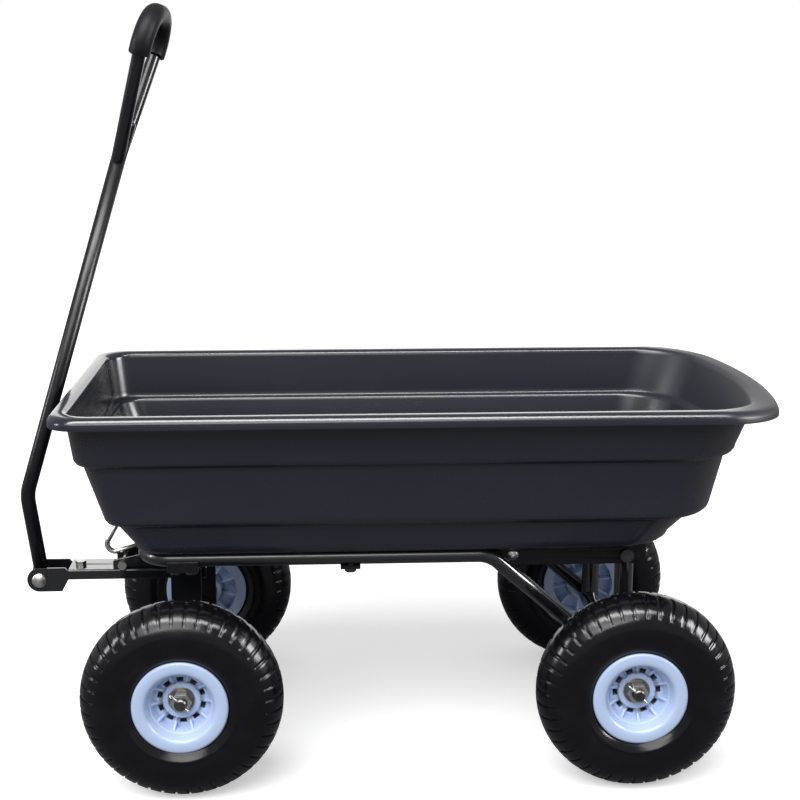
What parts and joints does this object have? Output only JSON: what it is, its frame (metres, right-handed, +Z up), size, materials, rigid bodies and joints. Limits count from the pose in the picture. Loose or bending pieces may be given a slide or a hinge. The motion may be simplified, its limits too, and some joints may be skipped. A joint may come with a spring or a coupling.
{
  "type": "dump cart",
  "caption": "Garden dump cart with a stepped tub that tips over the rear axle, a steered front axle, a swinging handle with a closed loop, and lugged pneumatic wheels.",
  "frame": {"origin": "on the floor under the middle of the whole cart", "axes": "+X from the handle towards the pouring end, +Y to the left, +Z up"},
  "size_m": [1.0288, 0.524, 0.9987],
  "materials": {
    "tub_plastic": "satin",
    "black_paint": "gloss",
    "zinc": "satin",
    "bare_steel": "satin",
    "tyre_rubber": "matte",
    "inner_tube_rubber": "matte",
    "rim_plastic": "satin",
    "loop_plastic": "gloss",
    "grip_rubber": "matte"
  },
  "bodies": {
    "chassis": {"side_rail_left": "black_paint", "side_rail_right": "black_paint", "front_bar": "black_paint", "front_bolster": "black_paint", "mid_cross_brace": "black_paint", "frame_bolts": "zinc", "rear_axle_tube": "black_paint", "rear_axle_rod": "bare_steel", "rear_upright_left": "black_paint", "rear_upright_right": "black_paint", "hinge_bolts": "zinc", "hinge_nuts": "zinc", "rear_axle_nuts": "zinc", "rear_axle_washers": "zinc", "rear_cotter_pins": "zinc", "rear_wheel_bearings": "zinc"},
    "tipping_tub": {"tub": "tub_plastic", "hinge_channel_left": "black_paint", "hinge_channel_right": "black_paint", "tub_tie_rod": "bare_steel", "tie_rod_nuts": "zinc", "tub_bolts": "zinc", "tub_nuts": "zinc", "latch_bracket": "black_paint", "latch_rivets": "zinc", "latch_pin": "zinc"},
    "release": {"release_lever": "zinc"},
    "front_axle": {"kingpin": "zinc", "kingpin_nut": "zinc", "thrust_washer": "zinc", "kingpin_collar": "black_paint", "yoke_plate": "black_paint", "yoke_leg_left": "black_paint", "yoke_leg_right": "black_paint", "front_axle_tube": "black_paint", "front_axle_rod": "bare_steel", "front_axle_nuts": "zinc", "front_axle_washers": "zinc", "front_cotter_pins": "zinc", "front_wheel_bearings": "zinc", "drawbar": "black_paint", "drawbar_gussets": "black_paint", "clevis": "black_paint", "drawbar_bolts": "zinc", "handle_bolt": "zinc"},
    "handle": {"handle_tube": "black_paint", "handle_loop": "loop_plastic", "handle_grip": "grip_rubber"},
    "front_left_wheel": {"front_left_tyre": "tyre_rubber", "front_left_tube": "inner_tube_rubber", "front_left_rim": "rim_plastic"},
    "front_right_wheel": {"front_right_tyre": "tyre_rubber", "front_right_tube": "inner_tube_rubber", "front_right_rim": "rim_plastic"},
    "rear_left_wheel": {"rear_left_tyre": "tyre_rubber", "rear_left_tube": "inner_tube_rubber", "rear_left_rim": "rim_plastic"},
    "rear_right_wheel": {"rear_right_tyre": "tyre_rubber", "rear_right_tube": "inner_tube_rubber", "rear_right_rim": "rim_plastic"}
  },
  "joints": [
    {"name": "tub_tip", "type": "hinge", "parent": "chassis", "child": "tipping_tub", "pos_m": [0.30687, 0, 0.2843], "axis": [0, 1, 0], "range_deg": [0, 80]},
    {"name": "lever_pull", "type": "hinge", "parent": "tipping_tub", "child": "release", "pos_m": [-0.37189, 0, 0.31778], "axis": [0, 1, 0], "range_deg": [0, 30]},
    {"name": "steering", "type": "hinge", "parent": "chassis", "child": "front_axle", "pos_m": [-0.27813, 0, 0.25], "axis": [0, 0, 1], "range_deg": [-18, 18]},
    {"name": "handle_swing", "type": "hinge", "parent": "front_axle", "child": "handle", "pos_m": [-0.49063, 0, 0.222], "axis": [0, 1, 0], "range_deg": [-105, 0]},
    {"name": "front_left_spin", "type": "hinge", "parent": "front_axle", "child": "front_left_wheel", "pos_m": [-0.27813, 0.22, 0.13], "axis": [0, 1, 0], "continuous": true},
    {"name": "front_right_spin", "type": "hinge", "parent": "front_axle", "child": "front_right_wheel", "pos_m": [-0.27813, -0.22, 0.13], "axis": [0, 1, 0], "continuous": true},
    {"name": "rear_left_spin", "type": "hinge", "parent": "chassis", "child": "rear_left_wheel", "pos_m": [0.30687, 0.22, 0.13], "axis": [0, 1, 0], "continuous": true},
    {"name": "rear_right_spin", "type": "hinge", "parent": "chassis", "child": "rear_right_wheel", "pos_m": [0.30687, -0.22, 0.13], "axis": [0, 1, 0], "continuous": true}
  ]
}
